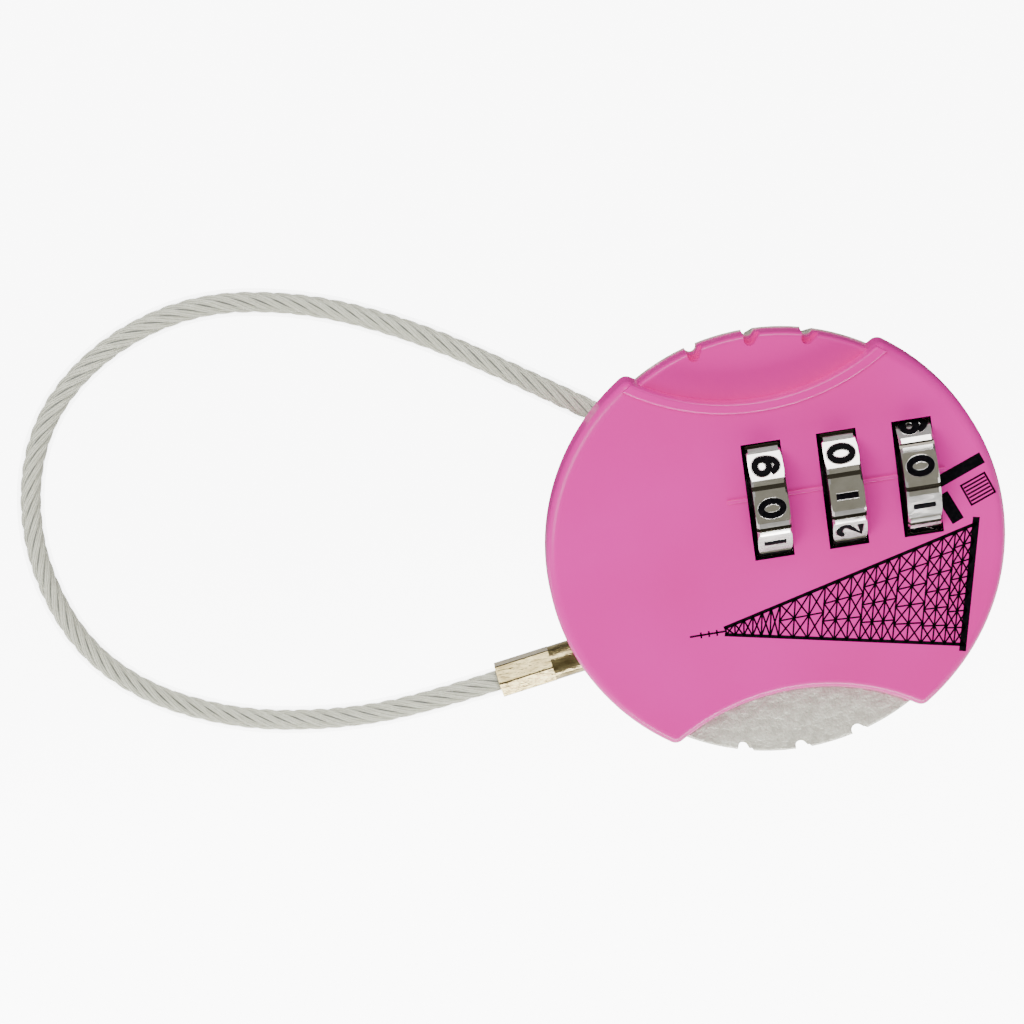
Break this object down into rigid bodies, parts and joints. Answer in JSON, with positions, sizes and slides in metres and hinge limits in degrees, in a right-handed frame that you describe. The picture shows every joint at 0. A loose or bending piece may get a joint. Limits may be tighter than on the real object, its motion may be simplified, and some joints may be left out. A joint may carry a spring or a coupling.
{
  "type": "cable luggage lock",
  "caption": "Round combination luggage lock with digit dials under a moulded cover and a looped, sheathed steel cable whose plug pulls out of the case.",
  "frame": {"origin": "centre of the round flat back", "axes": "+Z out of the dial face, +X along the dial axis away from the cable, +Y towards the notched grip above the dials"},
  "size_m": [0.0852, 0.0472, 0.0138],
  "materials": {
    "pink_cover": "satin moulded ABS, opaque hot pink",
    "zinc_casting": "satin chromed zinc die casting with a fine grain",
    "black_plastic": "matte moulded acetal",
    "dial_chrome": "satin chrome with black filled digits",
    "brass": "turned, bare",
    "steel": "zinc plated",
    "steel_rope": "stranded bright wire",
    "clear_sheath": "clear extruded vinyl",
    "nickel": "nickel plated"
  },
  "bodies": {
    "case": {"front_cover": "pink_cover", "chassis": "zinc_casting", "dial_frame": "black_plastic", "spindle_spring": "steel", "clutch_spring": "steel", "detent_spring": "steel", "latch_leaf": "steel", "plug_guide": "brass", "mechanism_plate": "steel", "plate_screws": "steel", "case_screws": "steel", "cable_anchor": "nickel", "wire_rope": "steel_rope", "cable_sheath": "clear_sheath"},
    "dial_1": {"dial_1": "dial_chrome"},
    "dial_2": {"dial_2": "dial_chrome"},
    "dial_3": {"dial_3": "dial_chrome"},
    "hub_1": {"hub_1": "black_plastic"},
    "hub_2": {"hub_2": "black_plastic"},
    "hub_3": {"hub_3": "black_plastic"},
    "spindle": {"spindle": "steel", "locking_arm": "steel", "spindle_clip": "steel"},
    "clutch_plate": {"clutch_plate": "black_plastic"},
    "reset_button": {"reset_button": "steel"},
    "plug": {"crimp_sleeve": "nickel", "plug_pin": "nickel"}
  },
  "joints": [
    {"name": "dial_1_spin", "type": "hinge", "parent": "case", "child": "dial_1", "pos_m": [-0.0002, 0.0044, 0.0077], "axis": [1, 0, 0], "continuous": true},
    {"name": "dial_2_spin", "type": "hinge", "parent": "case", "child": "dial_2", "pos_m": [0.00635, 0.0044, 0.0077], "axis": [1, 0, 0], "continuous": true},
    {"name": "dial_3_spin", "type": "hinge", "parent": "case", "child": "dial_3", "pos_m": [0.0129, 0.0044, 0.0077], "axis": [1, 0, 0], "continuous": true},
    {"name": "plug_pull", "type": "slide", "parent": "case", "child": "plug", "axis": [-0.9873, -0.1587, 0], "range_m": [0, 0.014], "deforming": ["wire_rope", "cable_sheath", "latch_leaf"]},
    {"name": "spindle_slide", "type": "slide", "parent": "case", "child": "spindle", "axis": [1, 0, 0], "range_m": [0, 0.0012], "stiffness_N_per_m": 200, "deforming": ["spindle_spring"]},
    {"name": "clutch_shift", "type": "slide", "parent": "case", "child": "clutch_plate", "axis": [1, 0, 0], "range_m": [0, 0.001], "stiffness_N_per_m": 300, "deforming": ["clutch_spring"]},
    {"name": "reset_press", "type": "slide", "parent": "case", "child": "reset_button", "axis": [0, 0, 1], "range_m": [0, 0.001]},
    {"name": "hub_1_shift", "type": "slide", "parent": "dial_1", "child": "hub_1", "axis": [1, 0, 0], "range_m": [0, 0.001]},
    {"name": "hub_2_shift", "type": "slide", "parent": "dial_2", "child": "hub_2", "axis": [1, 0, 0], "range_m": [0, 0.001]},
    {"name": "hub_3_shift", "type": "slide", "parent": "dial_3", "child": "hub_3", "axis": [1, 0, 0], "range_m": [0, 0.001]}
  ],
  "couplings": [
    {"joint": "reset_press", "follows": "clutch_shift", "ratio": 1},
    {"joint": "hub_1_shift", "follows": "clutch_shift", "ratio": 1},
    {"joint": "hub_2_shift", "follows": "clutch_shift", "ratio": 1},
    {"joint": "hub_3_shift", "follows": "clutch_shift", "ratio": 1}
  ]
}
